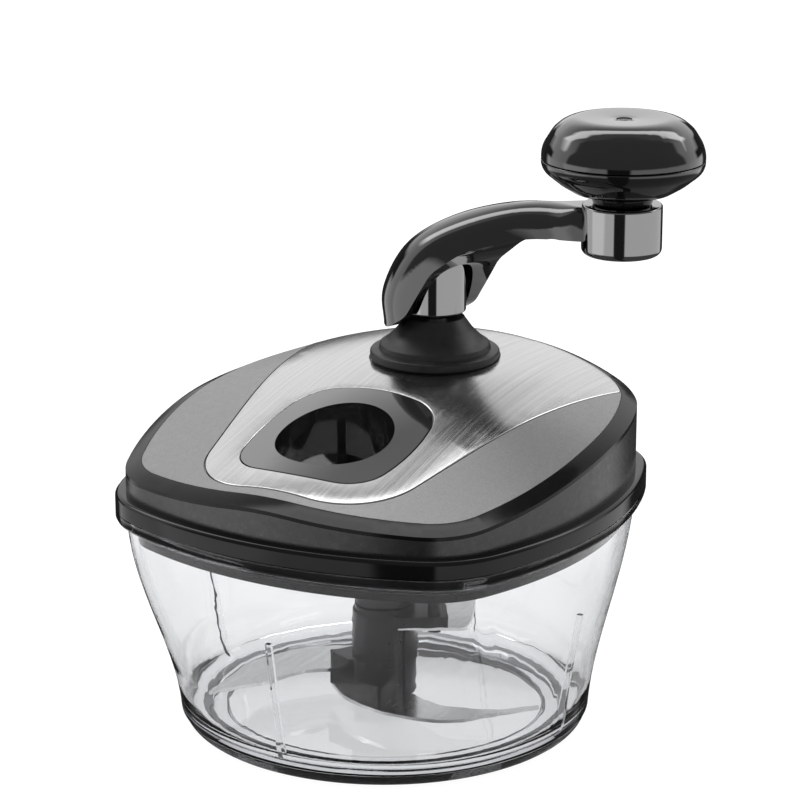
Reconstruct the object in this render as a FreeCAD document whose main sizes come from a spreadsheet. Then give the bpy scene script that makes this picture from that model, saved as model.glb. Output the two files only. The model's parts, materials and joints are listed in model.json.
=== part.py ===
import FreeCAD, Part
import math
import os
import Sketcher
from FreeCAD import Placement, Rotation, Vector

# Hand cranked food chopper: a clear rounded-square bowl with a blade unit on its centre pin,
# a domed lid that carries the gears and the feed tube, and a crank arm with a turning knob.
# Frame: origin on the bowl's axis at the table, +Z up, +X along the crank arm at rest,
# +Y towards the crank's shaft and -Y towards the feed hole. Millimetres throughout.

doc = FreeCAD.newDocument("FoodChopper")
sheet = doc.addObject("Spreadsheet::Sheet", "dims")

DIMENSIONS = [
    # the lid's rounded-square outline, and the bowl that grows from a circle into it
    ("lid_half_side", 79.5, "centre to mid-side of the lid wall"),
    ("corner_radius", 30.0, "radius of the outline's corners"),
    ("corner_centre", 41.2, "corner arc's centre from each axis"),
    ("flare_height", 80.0, "height over which the circle turns square"),
    ("base_radius", 69.6, "bowl radius at the base"),
    ("bowl_wall", 2.5, "clear wall thickness"),
    ("floor_low", 4.0, "underside of the bowl floor"),
    ("floor_top", 7.0, "inside of the bowl floor"),
    ("heel_radius", 5.0, "rounding between the bowl wall and its foot"),
    ("rim_low", 77.3, "underside of the bowl's rim lip"),
    ("rim_top", 80.5, "top of the bowl's rim lip"),
    ("rim_reach", 3.7, "how far rim and lid flange stand past the lid wall"),
    ("rib_top", 50.0, "top of the inner mixing ribs"),
    ("rib_thick", 1.8, "thickness of an inner rib"),
    ("foot_outer", 62.6, "outer radius of the rubber foot ring"),
    ("foot_inner", 59.4, "inner radius of the rubber foot ring"),
    ("pivot_radius", 2.5, "blade pivot pin radius"),
    ("pivot_top", 30.0, "top of the blade pivot pin"),
    # the lid's heights and skins
    ("flange_low", 80.8, "underside of the lid flange, just above the rim"),
    ("wall_low", 86.7, "bottom of the lid's side wall"),
    ("lid_wall", 2.2, "side wall thickness"),
    ("skirt_low", 71.0, "bottom of the skirt inside the bowl"),
    ("skirt_gap", 3.4, "skirt set in from the lid outline"),
    ("skirt_wall", 1.8, "skirt thickness"),
    ("cover_low", 84.0, "underside of the gear cover"),
    ("cover_thick", 2.0, "gear cover thickness"),
    ("dome_peak", 121.2, "highest point of the lid top"),
    ("dome_peak_y", 45.0, "where along Y the lid top is highest"),
    ("dome_radius", 250.0, "lengthwise radius of the lid top"),
    ("dome_line_y", -14.5, "in front of this the lid top runs straight"),
    ("dome_cross", 238.0, "radius of the arc that drops as far to the sides as the lid top"),
    ("dome_fade", 255.0, "length over which that radius shrinks to the back"),
    ("dome_ridge", 28.0, "half width of the rounded ridge, with straight shoulders beyond it"),
    ("dome_spread", 79.0, "length over which the ridge widens to the back"),
    ("top_thick", 2.6, "lid top panel thickness"),
    ("band_inset", 5.4, "width of the bevelled band"),
    ("band_drop", 1.3, "how far the bevel cuts down the wall"),
    ("seam", 0.15, "gap at a seam between two covers"),
    ("plate_seam", 0.4, "gap round the steel cover and round the feed insert"),
    ("ledge_thick", 2.0, "ledge under the band and the top panel"),
    # the steel cover and the feed opening
    ("plate_depth", 0.9, "steel cover's seat below the lid top"),
    ("plate_proud", 0.15, "steel cover above the lid top"),
    ("plate_front_y", -69.4, "front edge of the steel cover"),
    ("plate_front_x", 33.9, "half width along the front edge"),
    ("plate_back_x", 62.5, "half width at the back"),
    ("plate_corner", 28.0, "front corner radius of the steel cover"),
    ("feed_y", -32.4, "feed hole centre"),
    ("feed_radius", 19.7, "feed hole radius"),
    ("tube_wall", 1.5, "feed tube wall"),
    ("insert_y", -31.0, "feed insert centre"),
    ("insert_half", 28.2, "feed insert half side"),
    ("insert_corner", 15.0, "feed insert corner radius"),
    ("insert_centre", 12.0, "feed insert corner arc's centre from each axis"),
    ("insert_depth", 1.4, "feed insert's seat below the lid top"),
    ("screw_ring", 64.0, "gear cover screws from the bowl axis"),
    ("screw_radius", 1.4, "radius of a gear cover screw"),
    # the gear train
    ("crank_y", 34.5, "crank shaft from the bowl axis"),
    ("gear_teeth", 34, "teeth of the crank gear"),
    ("pinion_teeth", 12, "teeth of the pinion"),
    ("gear_module", 1.5, "gear module"),
    ("gear_low", 92.0, "underside of both gears"),
    ("gear_width", 8.0, "face width of both gears"),
    ("shaft_radius", 4.0, "crank shaft radius"),
    ("spindle_radius", 3.5, "pinion shaft radius"),
    ("bush_wall", 1.5, "wall of the plastic bushes"),
    ("running_gap", 0.05, "radial clearance of a running fit"),
    ("body_gap", 0.3, "gap between curved faces of different bodies"),
    ("sleeve_radius", 10.5, "drive sleeve radius"),
    ("sleeve_low", 41.3, "bottom of the drive sleeve"),
    # boot, crank and knob
    ("boot_flange", 22.4, "radius of the boot flange"),
    ("boot_top", 134.0, "top of the boot"),
    ("neck_radius", 10.7, "chrome sleeve and boot top radius"),
    ("crank_reach", 70.4, "crank arm's length between its axes"),
    ("collar_radius", 13.35, "knob collar radius"),
    ("collar_low", 164.5, "bottom of the knob collar"),
    ("collar_split", 169.2, "seam of the collar's bottom cap"),
    ("collar_top", 181.5, "top of the knob collar"),
    ("knob_radius", 27.0, "knob radius"),
    ("knob_low", 185.4, "underside of the knob"),
    ("knob_split", 196.5, "seam between the knob's shells"),
    ("knob_top", 210.5, "top of the knob"),
    ("arm_end", 61.6, "where the arm runs into its collar"),
    ("hood_turn", -18.0, "turn of the hood's opening from the arm"),
    # the blade unit
    ("hub_radius", 11.2, "blade hub radius"),
    ("hub_low", 9.0, "bottom of the blade hub"),
    ("hub_top", 41.0, "top of the blade hub"),
    ("blade_thick", 1.2, "blade thickness"),
    ("bracket_thick", 3.8, "thickness of a blade bracket"),
    ("pin_radius", 2.2, "radius of the pins that hold the blades"),
    ("lower_blade", 11.2, "height of the lowest blade"),
    ("middle_blade", 15.5, "height of the middle blade"),
    ("upper_blade", 34.2, "height of the highest blade"),
    ("lower_turn", 0.0, "turn of the lowest blade"),
    ("middle_turn", 225.0, "turn of the middle blade"),
    ("upper_turn", 86.0, "turn of the highest blade"),
]

for row, (name, size, meaning) in enumerate(DIMENSIONS, start=1):
    sheet.set("A%d" % row, name)
    sheet.set("B%d" % row, repr(size))
    sheet.set("C%d" % row, meaning)
    sheet.setAlias("B%d" % row, name)
doc.recompute()

NODES = {}


def value(expression):
    """The number that an expression on the sheet gives."""
    result = sheet.evalExpression(str(expression).replace("dims.", ""))
    return float(getattr(result, "Value", result))


def node(label, piece):
    """Register a finished sub-part under the name that its file gets."""
    piece.Label = label
    NODES[label] = piece
    return piece


def bind(piece, prop, expression):
    piece.setExpression(prop, str(expression))


def place(piece, x="0", y="0", z="0"):
    """Bind where a sub-part stands."""
    for axis, expression in (("x", x), ("y", y), ("z", z)):
        bind(piece, "Placement.Base." + axis, expression)
    return piece


# ---- sketch helpers ---------------------------------------------------------------------

def new_body(name):
    return doc.addObject("PartDesign::Body", name)


def origin_part(body, role):
    for feature in body.Origin.OriginFeatures:
        if feature.Role == role:
            return feature


def new_sketch(body, name, role, height="0"):
    """A sketch on one of the body's origin planes, raised along the plane's normal."""
    sketch = body.newObject("Sketcher::SketchObject", name)
    sketch.AttachmentSupport = [(origin_part(body, role), "")]
    sketch.MapMode = "FlatFace"
    bind(sketch, "AttachmentOffset.Base.z", height)
    return sketch


def constrain(sketch, kind, *refs, size=None):
    """Add a constraint, with its size bound to an expression."""
    if size is None:
        return sketch.addConstraint(Sketcher.Constraint(kind, *refs))
    index = sketch.addConstraint(Sketcher.Constraint(kind, *refs, value(size)))
    sketch.setExpression("Constraints[%d]" % index, str(size))
    return index


def pin_point(sketch, geo, pos, x, y):
    """Hold a point at bound coordinates, or on an axis where a coordinate is nought."""
    for kind, coordinate, axis in (("DistanceX", x, -2), ("DistanceY", y, -1)):
        if abs(value(coordinate)) < 1e-9:
            constrain(sketch, "PointOnObject", geo, pos, axis)
        else:
            constrain(sketch, kind, -1, 1, geo, pos, size=coordinate)


def run_length(start, end):
    return "sqrt(((%s) - (%s))^2 + ((%s) - (%s))^2)" % (end[0], start[0], end[1], start[1])


def rounding_cut(before, here, after):
    """How far along both runs the rounding of a corner reaches."""
    dot = "((%s) - (%s)) * ((%s) - (%s)) + ((%s) - (%s)) * ((%s) - (%s))" % (
        before[0], here[0], after[0], here[0], before[1], here[1], after[1], here[1])
    cosine = "(%s) / (%s * %s)" % (dot, run_length(before, here), run_length(here, after))
    return "(%s) * sqrt((1 + %s) / (1 - %s))" % (here[2], cosine, cosine)


def along(here, towards, distance):
    """The point at a distance from one corner towards another, as two expressions."""
    share = "(%s) / %s" % (distance, run_length(here, towards))
    return tuple("(%s) + ((%s) - (%s)) * %s" % (here[i], towards[i], here[i], share) for i in (0, 1))


def drawn_point(point):
    return Vector(value(point[0]), value(point[1]), 0)


def outline(sketch, corners):
    """A closed outline of straight runs. Each corner is (x, y) or (x, y, rounding)."""
    count = len(corners)
    leave, arrive = [], []
    for i, here in enumerate(corners):
        before, after = corners[i - 1], corners[(i + 1) % count]
        rounded = len(here) > 2
        distance = rounding_cut(before, here, after) if rounded else None
        arrive.append(along(here, before, distance) if rounded else here)
        leave.append(along(here, after, distance) if rounded else here)
    lines = []
    for i in range(count):
        start, end = leave[i], arrive[(i + 1) % count]
        lines.append(sketch.addGeometry(Part.LineSegment(drawn_point(start), drawn_point(end))))
        pin_point(sketch, lines[i], 1, *start[:2])
    for i, here in enumerate(corners):
        last, following = lines[i - 1], lines[i]
        if len(here) == 2:
            constrain(sketch, "Coincident", last, 2, following, 1)
            continue
        pin_point(sketch, last, 2, *arrive[i])
        arc_between(sketch, (last, 2), (following, 1), drawn_point(here), here[2])


def arc_between(sketch, first, second, corner, radius):
    """A tangent arc round a corner, between the end of one run and the start of the next."""
    start, end = (sketch.getPoint(*first), sketch.getPoint(*second))
    size = value(radius)
    half = (start + end) * 0.5 - corner
    centre = corner + half * (((start - corner).Length ** 2 + size ** 2) ** 0.5 / half.Length)
    middle = centre - half * (size / half.Length)
    index = sketch.addGeometry(Part.Arc(start, middle, end))
    forward = (sketch.getPoint(index, 1) - start).Length < (sketch.getPoint(index, 2) - start).Length
    constrain(sketch, "Coincident", *first, index, 1 if forward else 2)
    constrain(sketch, "Coincident", *second, index, 2 if forward else 1)
    constrain(sketch, "Radius", index, size=radius)


def circle(sketch, radius, x="0", y="0"):
    index = sketch.addGeometry(Part.Circle(Vector(value(x), value(y), 0), Vector(0, 0, 1), value(radius)))
    constrain(sketch, "Radius", index, size=radius)
    if abs(value(x)) < 1e-9 and abs(value(y)) < 1e-9:
        constrain(sketch, "Coincident", index, 3, -1, 1)
    else:
        pin_point(sketch, index, 3, x, y)


def rounded_square(sketch, half_side, corner, centre):
    """Four bowed sides and four corner arcs, tangent to one another.

    half_side is the distance to the middle of a side, corner the corner radius, and centre
    the corner arc's distance from each axis. The side's radius follows from the tangency.
    """
    step = "((%s) - (%s))" % (centre, half_side)
    side = "((%s)^2 - %s^2 - (%s)^2) / (2 * (%s + (%s)))" % (corner, step, centre, step, corner)
    spread = "(%s - (%s))" % (side, corner)
    far = "(%s) + (%s) * ((%s) + %s - (%s)) / %s" % (centre, corner, centre, side, half_side, spread)
    near = "(%s) + (%s) * (%s) / %s" % (centre, corner, centre, spread)
    quarters = []
    for x, y in ((1, 1), (-1, 1), (-1, -1), (1, -1)):
        joints = [("%d * (%s)" % (x, far), "%d * (%s)" % (y, near)),
                  ("%d * (%s)" % (x, near), "%d * (%s)" % (y, far))]
        quarters += joints if x == y else joints[::-1]
    joints = [drawn_point(joint) for joint in quarters]
    arcs = []
    for i, start in enumerate(joints):
        end, size = joints[(i + 1) % 8], value(side if i % 2 else corner)
        middle = bow(start, end, size, 1)
        arcs.append(sketch.addGeometry(Part.Arc(start, middle, end)))
        pin_point(sketch, arcs[i], 1, *quarters[i])
    for i, arc in enumerate(arcs):
        constrain(sketch, "Coincident", arc, 2, arcs[(i + 1) % 8], 1)
        constrain(sketch, "Radius", arc, size=side if i % 2 else corner)


def bow(start, end, radius, side):
    """The middle point of an arc between two points, bowed to one side of the chord."""
    chord = end - start
    sagitta = radius - math.sqrt(radius ** 2 - (chord.Length / 2) ** 2)
    across = Vector(chord.y, -chord.x, 0).normalize() * side
    return (start + end) * 0.5 + across * sagitta


# ---- feature helpers --------------------------------------------------------------------

def pad(body, sketch, length, name="Pad", midplane=False):
    feature = body.newObject("PartDesign::Pad", name)
    feature.Profile = sketch
    bind(feature, "Length", length)
    feature.Midplane = midplane
    return feature


def revolve(body, sketch, name="Revolution"):
    feature = body.newObject("PartDesign::Revolution", name)
    feature.Profile = sketch
    feature.ReferenceAxis = (sketch, ["V_Axis"])
    feature.Angle = 360
    return feature


def loft(body, kind, sketches, name):
    feature = body.newObject("PartDesign::" + kind, name)
    feature.Profile = sketches[0]
    feature.Sections = sketches[1:]
    return feature


def turned(name, corners, x="0", y="0"):
    """A body turned about a vertical axis at (x, y), from (radius, height) corners."""
    body = new_body(name)
    sketch = new_sketch(body, name + "_profile", "XZ_Plane")
    outline(sketch, corners)
    revolve(body, sketch, name + "_turned")
    place(body, x, y)
    return body


def square_block(name, inset, low, high):
    """The lid's outline, set in by inset, between two heights."""
    body = new_body(name)
    sketch = new_sketch(body, name + "_outline", "XY_Plane", low)
    rounded_square(sketch, "(dims.lid_half_side - (%s))" % inset,
                   "(dims.corner_radius - (%s))" % inset, "dims.corner_centre")
    pad(body, sketch, "(%s) - (%s)" % (high, low), name + "_pad")
    return body


def round_block(name, radius, low, high, x="0", y="0"):
    """A plain cylinder on a vertical axis, as a cutter or a boss."""
    block = doc.addObject("Part::Cylinder", name)
    bind(block, "Radius", radius)
    bind(block, "Height", "(%s) - (%s)" % (high, low))
    return place(block, x, y, low)


def combine(kind, name, base, tool):
    piece = doc.addObject("Part::" + kind, name)
    piece.Base = base
    piece.Tool = tool
    return piece


def cut(name, base, *tools):
    for number, tool in enumerate(tools):
        base = combine("Cut", "%s_cut%d" % (name, number), base, tool)
    return base


def common(name, base, tool):
    return combine("Common", name, base, tool)


def fuse(name, *pieces):
    piece = doc.addObject("Part::MultiFuse", name)
    piece.Shapes = list(pieces)
    piece.Refine = True
    return piece


# ---- the lid's domed surface ------------------------------------------------------------

DOME_STATIONS = (-95, -62, -30, 0, 30, 60, 95)


def dome_height(y):
    """Height of the lid top's centre line: an arc behind dome_line_y, straight in front."""
    arc = "dims.dome_peak - dims.dome_radius + sqrt(dims.dome_radius^2 - (%s - dims.dome_peak_y)^2)"
    if y >= value("dims.dome_line_y"):
        return arc % ("(%s)" % y)
    run = "(dims.dome_peak_y - dims.dome_line_y)"
    slope = "%s / sqrt(dims.dome_radius^2 - %s^2)" % (run, run)
    return "%s - %s * (dims.dome_line_y - (%s))" % (arc % "dims.dome_line_y", slope, y)


def ridge_shape(y):
    """Half width and radius of the lid top's ridge: its shoulders drop like one arc by x = 70."""
    whole = "(dims.dome_cross * exp(-(%s) / dims.dome_fade))" % y
    half = "(dims.dome_ridge * exp((%s) / dims.dome_spread))" % y
    slope = "((%s - sqrt(%s^2 - 4900)) / (70 - %s / 2))" % (whole, whole, half)
    return half, "(%s * sqrt(1 + %s^2) / %s)" % (half, slope, slope)


def dome_block(name, drop):
    """The solid below the lid top, lowered by drop: a soft ridge between straight shoulders."""
    body = new_body(name)
    sections = []
    for number, y in enumerate(DOME_STATIONS):
        sketch = new_sketch(body, "%s_section%d" % (name, number), "XZ_Plane", -y)
        top = "(%s - (%s))" % (dome_height(y), drop)
        half, radius = ridge_shape(y)
        size, apex, ridge = value(radius), value(top), value(half)
        lean = math.asin(ridge / size)
        spring = apex - size + size * math.cos(lean)
        eave = spring - (100 - ridge) * math.tan(lean)
        circle = Part.Circle(Vector(0, apex - size, 0), Vector(0, 0, 1), size)
        arc = sketch.addGeometry(Part.ArcOfCircle(circle, math.pi / 2 - lean, math.pi / 2 + lean))
        corners = [Vector(-ridge, spring, 0), Vector(-100, eave, 0), Vector(-100, 60, 0),
                   Vector(100, 60, 0), Vector(100, eave, 0), Vector(ridge, spring, 0)]
        lines = [sketch.addGeometry(Part.LineSegment(start, end))
                 for start, end in zip(corners, corners[1:])]
        for one, other in zip(lines, lines[1:]):
            constrain(sketch, "Coincident", one, 2, other, 1)
        constrain(sketch, "Tangent", arc, 2, lines[0], 1)
        constrain(sketch, "Tangent", lines[4], 2, arc, 1)
        constrain(sketch, "Vertical", lines[1])
        constrain(sketch, "Vertical", lines[3])
        pin_point(sketch, lines[2], 1, "-100", "60")
        pin_point(sketch, lines[2], 2, "100", "60")
        pin_point(sketch, arc, 3, "0", "%s - %s" % (top, radius))
        constrain(sketch, "Radius", arc, size=radius)
        constrain(sketch, "DistanceX", -1, 1, arc, 1, size=half)
        constrain(sketch, "DistanceX", arc, 2, -1, 1, size=half)
        sections.append(sketch)
    loft(body, "AdditiveLoft", sections, name + "_loft")
    return body


# ---- bowl -------------------------------------------------------------------------------

BOWL_STATIONS = ("6", "16", "26", "36", "46", "56", "66", "dims.rim_low + 0.2")


def bowl_section(body, name, height, inset):
    """The bowl's outline at a height: nearly round at the base, rounded square at the rim."""
    sketch = new_sketch(body, name, "XY_Plane", height)
    square = "(0.03 + 0.97 * sin(90 * (%s) / dims.flare_height)^2)" % height
    span = "(dims.corner_centre * 1.366 + dims.corner_radius)"
    reach = "(dims.base_radius + (%s - dims.base_radius) * %s)" % (span, square)
    centre = "(dims.corner_centre * %s)" % square
    corner = "(%s - 1.366 * %s - (%s))" % (reach, centre, inset)
    side = "(%s - (%s - dims.lid_half_side) * %s - (%s))" % (reach, span, square, inset)
    rounded_square(sketch, side, corner, centre)
    return sketch


def make_bowl():
    body = new_body("bowl_shell")
    foot = new_sketch(body, "foot_profile", "XZ_Plane")
    outline(foot, [("dims.pivot_radius", "dims.floor_low"),
                   ("54.2", "dims.floor_low", "0.5"),
                   ("54.8", "1.4", "0.5"),
                   ("dims.foot_inner", "1.4"),
                   ("dims.foot_inner", "dims.floor_low"),
                   ("dims.foot_outer + 0.3", "dims.floor_low"),
                   ("dims.foot_outer + 0.3", "1.2"),
                   ("dims.base_radius + 0.15", "1.2", "dims.heel_radius"),
                   ("dims.base_radius + 0.15", "6.6"),
                   ("6", "6.6"),
                   ("6", "12"),
                   ("dims.pivot_radius", "12")])
    revolve(body, foot, "foot_turned")
    walls = [bowl_section(body, "wall%d" % i, z, "0") for i, z in enumerate(BOWL_STATIONS)]
    loft(body, "AdditiveLoft", walls, "wall_loft")
    lip = []
    for number, (z, reach) in enumerate((("dims.rim_low - 3", "-0.9"), ("dims.rim_low - 1", "1.9"),
                                         ("dims.rim_low", "dims.rim_reach - 0.5"),
                                         ("dims.rim_low + 1", "dims.rim_reach"),
                                         ("dims.rim_top", "dims.rim_reach"))):
        sketch = new_sketch(body, "lip%d" % number, "XY_Plane", z)
        rounded_square(sketch, "(dims.lid_half_side + (%s))" % reach,
                       "(dims.corner_radius + (%s))" % reach, "dims.corner_centre")
        lip.append(sketch)
    loft(body, "AdditiveLoft", lip, "lip_loft").Ruled = True
    hollow = [bowl_section(body, "hollow%d" % i, z, inset) for i, (z, inset) in enumerate((
        ("dims.floor_top", "6.5"), ("dims.floor_top + 1.3", "3.9"),
        ("dims.floor_top + 4", "dims.bowl_wall + 0.2"), ("22", "dims.bowl_wall"),
        ("33", "dims.bowl_wall"), ("44", "dims.bowl_wall"), ("55", "dims.bowl_wall"),
        ("66", "dims.bowl_wall"), ("dims.rim_top + 0.5", "dims.bowl_wall")))]
    loft(body, "SubtractiveLoft", hollow, "hollow_loft")
    boss = new_sketch(body, "boss_outline", "XY_Plane", "dims.floor_low")
    circle(boss, "6")
    circle(boss, "dims.pivot_radius")
    pad(body, boss, "8", "boss_pad")
    rib = new_sketch(body, "rib_profile", "XZ_Plane")
    outline(rib, [("64.5", "dims.floor_top - 0.6"), ("68.4", "dims.floor_top - 0.6"),
                  ("75.0", "dims.rib_top"), ("72.4", "dims.rib_top")])
    rib_pad = pad(body, rib, "dims.rib_thick", "rib_pad", midplane=True)
    ribs = body.newObject("PartDesign::PolarPattern", "ribs")
    ribs.Originals = [rib_pad]
    ribs.Axis = (origin_part(body, "Z_Axis"), [""])
    ribs.Angle = 360
    ribs.Occurrences = 4
    body.Tip = ribs
    pin_bore = round_block("pin_bore", "dims.pivot_radius", "dims.floor_low + 0.5", "20")
    return node("bowl_shell", cut("bowl_shell", body, pin_bore))


def make_foot_ring():
    body = turned("foot_ring", [("dims.foot_inner", "0", "0.4"), ("dims.foot_outer", "0", "0.6"),
                                ("dims.foot_outer", "dims.floor_low"),
                                ("dims.foot_inner", "dims.floor_low")])
    notch = new_sketch(body, "notch_outline", "XY_Plane")
    outline(notch, [("dims.foot_outer - 2.2", "-1.2"), ("dims.foot_outer + 1", "-1.2"),
                    ("dims.foot_outer + 1", "1.2"), ("dims.foot_outer - 2.2", "1.2")])
    pocket = body.newObject("PartDesign::Pocket", "notch")
    pocket.Profile = notch
    pocket.Type = 0
    pocket.Length = 1.6
    pocket.Reversed = True
    pattern = body.newObject("PartDesign::PolarPattern", "notches")
    pattern.Originals = [pocket]
    pattern.Axis = (origin_part(body, "Z_Axis"), [""])
    pattern.Angle = 360
    pattern.Occurrences = 6
    body.Tip = pattern
    body.Placement.Rotation = Rotation(Vector(0, 0, 1), 30)
    return node("foot_ring", body)


def make_pivot_pin():
    low = "dims.floor_low + 0.5"
    return node("pivot_pin", turned("pivot_pin", [
        ("0", low), ("dims.pivot_radius", low), ("dims.pivot_radius", "dims.pivot_top", "1"),
        ("0", "dims.pivot_top")]))


# ---- lid --------------------------------------------------------------------------------

def make_lid():
    top = dome_block("dome_top", "0")
    seat = dome_block("dome_plate_seat", "dims.plate_depth")
    proud = dome_block("dome_plate_top", "-dims.plate_proud")
    insert_seat = dome_block("dome_insert_seat", "dims.insert_depth")
    under = dome_block("dome_under", "dims.top_thick")
    below_ledge = dome_block("dome_below_ledge", "dims.top_thick + dims.ledge_thick")

    ledge_in = "(dims.band_inset + 3)"
    wall = common("wall_stock", square_block("wall_outer", "0", "dims.wall_low", "130"), under)
    room = square_block("wall_room", "dims.lid_wall", "dims.wall_low - 1", "130")
    room_low = common("wall_room_low", room, below_ledge)
    core = square_block("wall_core", ledge_in, "dims.wall_low - 1", "130")
    node("lid_wall", cut("lid_wall", wall, room_low, core))

    # the bevelled band: the rim of a domed block whose top edge is chamfered all round
    stock = common("band_stock", square_block("band_outer", "0", "dims.wall_low", "130"), top)
    doc.recompute()
    bevel = doc.addObject("Part::Chamfer", "band_bevel")
    bevel.Base = stock
    bevel.Edges = [(index, value("dims.band_drop"), value("dims.band_inset"))
                   for index in rim_edges(stock.Shape)]
    inner = square_block("band_inner", "dims.band_inset", "60", "131")
    node("edge_band", cut("edge_band", bevel, inner, under))

    # the top panel, with seats for the steel cover and the feed insert
    panel = common("panel_stock", square_block("panel_outer", "dims.band_inset + dims.seam",
                                               "60", "130"), top)
    plate_seat = cut("plate_seat", plate_block("seat_outline", "dims.plate_seam"), seat)
    insert_room = cut("insert_room", insert_block("insert_seat_outline", "dims.seam"), insert_seat)
    boss_crank = turned_boss("crank_boss", "dims.shaft_radius + dims.bush_wall", "3.2", "106",
                             "dims.crank_y")
    boss_pinion = turned_boss("pinion_boss", "dims.spindle_radius + dims.bush_wall", "2.2", "103", "0")
    posts = screw_ring("screw_post", "3.4", "dims.cover_low + dims.cover_thick", "130")
    bosses = common("bosses", fuse("boss_group", boss_crank, boss_pinion, posts), seat)
    skin = cut("panel_skin", panel, under)
    solid = fuse("panel_solid", skin, bosses)
    node("lid_top", cut("lid_top", solid, plate_seat, insert_room,
                        round_block("top_feed_hole", "dims.feed_radius + dims.tube_wall + 0.1",
                                    "60", "130", "0", "dims.feed_y"),
                        round_block("top_crank_hole", "dims.shaft_radius + dims.bush_wall",
                                    "60", "130", "0", "dims.crank_y"),
                        round_block("top_pinion_hole", "dims.spindle_radius + dims.bush_wall",
                                    "60", "113", "0", "0"),
                        screw_ring("screw_thread", "dims.screw_radius", "80", "95")))

    # the steel cover lies in its seat
    sheet_stock = common("plate_stock", plate_block("plate_outline", "0"), proud)
    node("steel_cover", cut("steel_cover", sheet_stock, seat,
                            insert_block("plate_insert_hole", "dims.plate_seam"),
                            round_block("plate_crank_hole", "dims.boot_flange + 0.2",
                                        "60", "130", "0", "dims.crank_y")))
    trim_stock = common("insert_stock", insert_block("insert_outline", "0"), proud)
    node("feed_insert", cut("feed_insert", trim_stock, insert_seat,
                            round_block("insert_hole", "dims.feed_radius", "60", "130",
                                        "0", "dims.feed_y")))
    tube = common("tube_stock", round_block("tube_outer", "dims.feed_radius + dims.tube_wall",
                                            "dims.cover_low", "130", "0", "dims.feed_y"), insert_seat)
    node("feed_tube", cut("feed_tube", tube,
                          round_block("tube_bore", "dims.feed_radius", "60", "130",
                                      "0", "dims.feed_y")))


def rim_edges(shape):
    """Numbers of the edges between the domed top and the side walls of a block."""
    found = []
    for index, edge in enumerate(shape.Edges, start=1):
        box = edge.BoundBox
        middle = edge.valueAt((edge.FirstParameter + edge.LastParameter) / 2)
        if box.ZMin > value("dims.wall_low") + 2 and middle.Length > 60:
            upright = abs(box.ZLength) > 3 and box.XLength < 0.5 and box.YLength < 0.5
            if not upright:
                found.append(index)
    return found


def turned_boss(name, bore, wall, low, y):
    body = new_body(name)
    sketch = new_sketch(body, name + "_outline", "XY_Plane", low)
    circle(sketch, "%s + %s" % (bore, wall))
    pad(body, sketch, "130 - (%s)" % low, name + "_pad")
    return place(body, "0", y)


def plate_block(name, gap):
    """The steel cover's plan: a tongue that widens from the feed hole to the back."""
    body = new_body(name)
    sketch = new_sketch(body, name + "_outline", "XY_Plane", "60")
    front = "dims.plate_front_y - (%s)" % gap
    near, far = ["(dims.plate_%s_x + (%s))" % (end, gap) for end in ("front", "back")]
    outline(sketch, [("-" + near, front, "dims.plate_corner"), (near, front, "dims.plate_corner"),
                     (far, "58"), (far, "100"), ("-" + far, "100"), ("-" + far, "58")])
    pad(body, sketch, "70", name + "_pad")
    limit = square_block(name + "_limit", "dims.band_inset + dims.seam", "60", "130")
    return common(name + "_in_lid", body, limit)


def insert_block(name, gap):
    body = new_body(name)
    sketch = new_sketch(body, name + "_outline", "XY_Plane", "60")
    rounded_square(sketch, "(dims.insert_half + (%s))" % gap,
                   "(dims.insert_corner + (%s))" % gap, "dims.insert_centre")
    pad(body, sketch, "70", name + "_pad")
    return place(body, "0", "dims.insert_y")


def make_flange():
    """The black flange on the bowl's rim, with its skirt inside the bowl."""
    ring = square_block("flange_outer", "-dims.rim_reach", "dims.flange_low", "dims.wall_low")
    skirt = square_block("skirt_outer", "dims.skirt_gap", "dims.skirt_low", "dims.flange_low + 1")
    stock = fuse("flange_stock", ring, skirt)
    inner = "dims.skirt_gap + dims.skirt_wall"
    bore = square_block("skirt_inner", inner, "dims.skirt_low - 1", "dims.cover_low + 0.5")
    mouth = square_block("flange_inner", "dims.lid_wall + 0.2", "dims.cover_low", "dims.wall_low + 1")
    ring_cut = cut("flange_ring", stock, bore, mouth)
    doc.recompute()
    soft = doc.addObject("Part::Fillet", "flange_soft")
    soft.Base = ring_cut
    soft.Edges = [(index, 1.6, 1.6) for index, edge in enumerate(ring_cut.Shape.Edges, start=1)
                  if is_flange_edge(edge)]
    node("lid_flange", soft)
    seal_out = square_block("seal_outer", "dims.bowl_wall + dims.body_gap + 0.15", "74", "77")
    seal_in = square_block("seal_inner", "dims.skirt_gap", "73", "78")
    node("lid_seal", cut("lid_seal", seal_out, seal_in))


def is_flange_edge(edge):
    """The long outer edge at the top of the flange."""
    middle = edge.valueAt((edge.FirstParameter + edge.LastParameter) / 2)
    box = edge.BoundBox
    flat = box.ZLength < 0.01 and abs(box.ZMax - value("dims.wall_low")) < 0.01
    return flat and math.hypot(middle.x, middle.y) > value("dims.lid_half_side") + 2


def make_gear_cover():
    plate = square_block("cover_outline", "dims.lid_wall + 0.4", "dims.cover_low",
                         "dims.cover_low + dims.cover_thick")
    crank_cup = round_block("crank_cup", "9", "dims.cover_low", "90", "0", "dims.crank_y")
    spindle_cup = round_block("spindle_cup", "8", "dims.cover_low", "90")
    solid = fuse("cover_solid", plate, crank_cup, spindle_cup)
    node("gear_cover", cut("gear_cover", solid,
                           round_block("cover_feed_hole", "dims.feed_radius + dims.tube_wall + 0.1",
                                       "60", "120", "0", "dims.feed_y"),
                           round_block("cover_crank_hole", "dims.shaft_radius + dims.bush_wall",
                                       "dims.cover_low + dims.cover_thick", "100", "0", "dims.crank_y"),
                           round_block("cover_spindle_hole", "dims.spindle_radius + dims.bush_wall",
                                       "60", "100"),
                           screw_ring("screw_hole", "dims.screw_radius", "80", "90")))


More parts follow.
